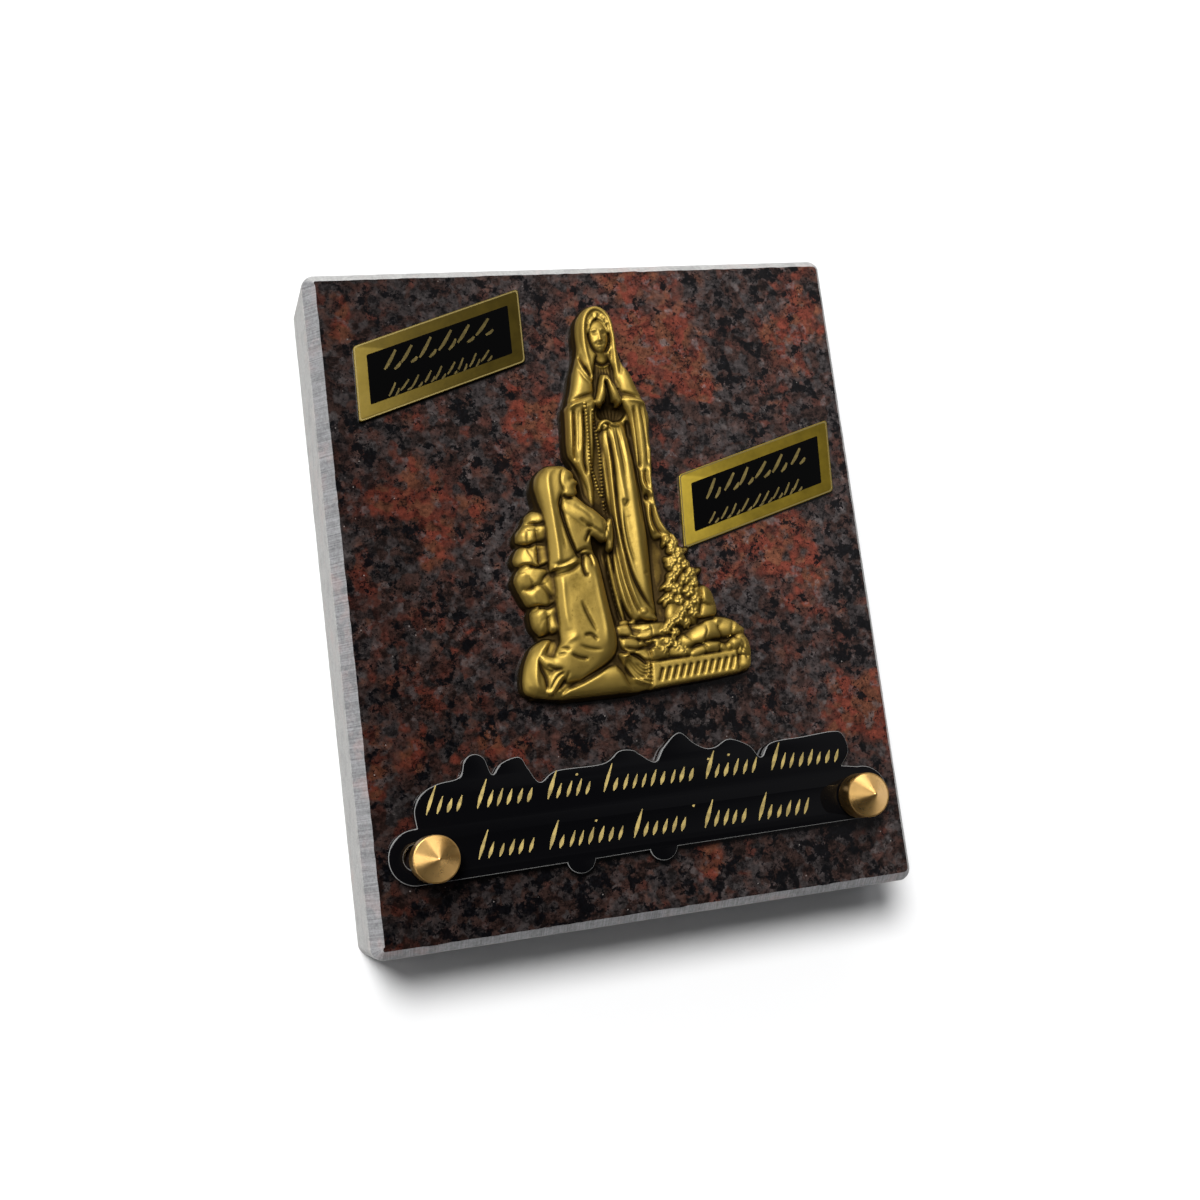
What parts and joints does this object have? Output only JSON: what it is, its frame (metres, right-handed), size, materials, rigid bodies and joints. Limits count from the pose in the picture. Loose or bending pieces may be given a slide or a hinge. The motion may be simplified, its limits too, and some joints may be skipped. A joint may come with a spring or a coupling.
{
  "type": "memorial plaque",
  "caption": "Granite memorial plaque with a bronze relief, an inscription plate on two brass studs and slanted gold-edged labels.",
  "frame": {"origin": "centre of the slab's back, on the surface it lies on", "axes": "+Z out of the polished face, +Y towards the plaque's top edge, +X towards its right edge"},
  "size_m": [0.1, 0.12, 0.0304],
  "materials": {
    "granite": "polished face, sawn edges",
    "bronze": "rubbed gilt bronze with a dark patina in the hollows",
    "acrylic": "high gloss",
    "brass": "polished",
    "label_left": "printed foil",
    "label_right": "printed foil"
  },
  "bodies": {
    "root": {"granite_slab": "granite", "bronze_relief": "bronze", "inscription_plate": "acrylic", "stud_left": "brass", "stud_right": "brass", "label_left": "label_left", "label_right": "label_right"}
  },
  "joints": []
}
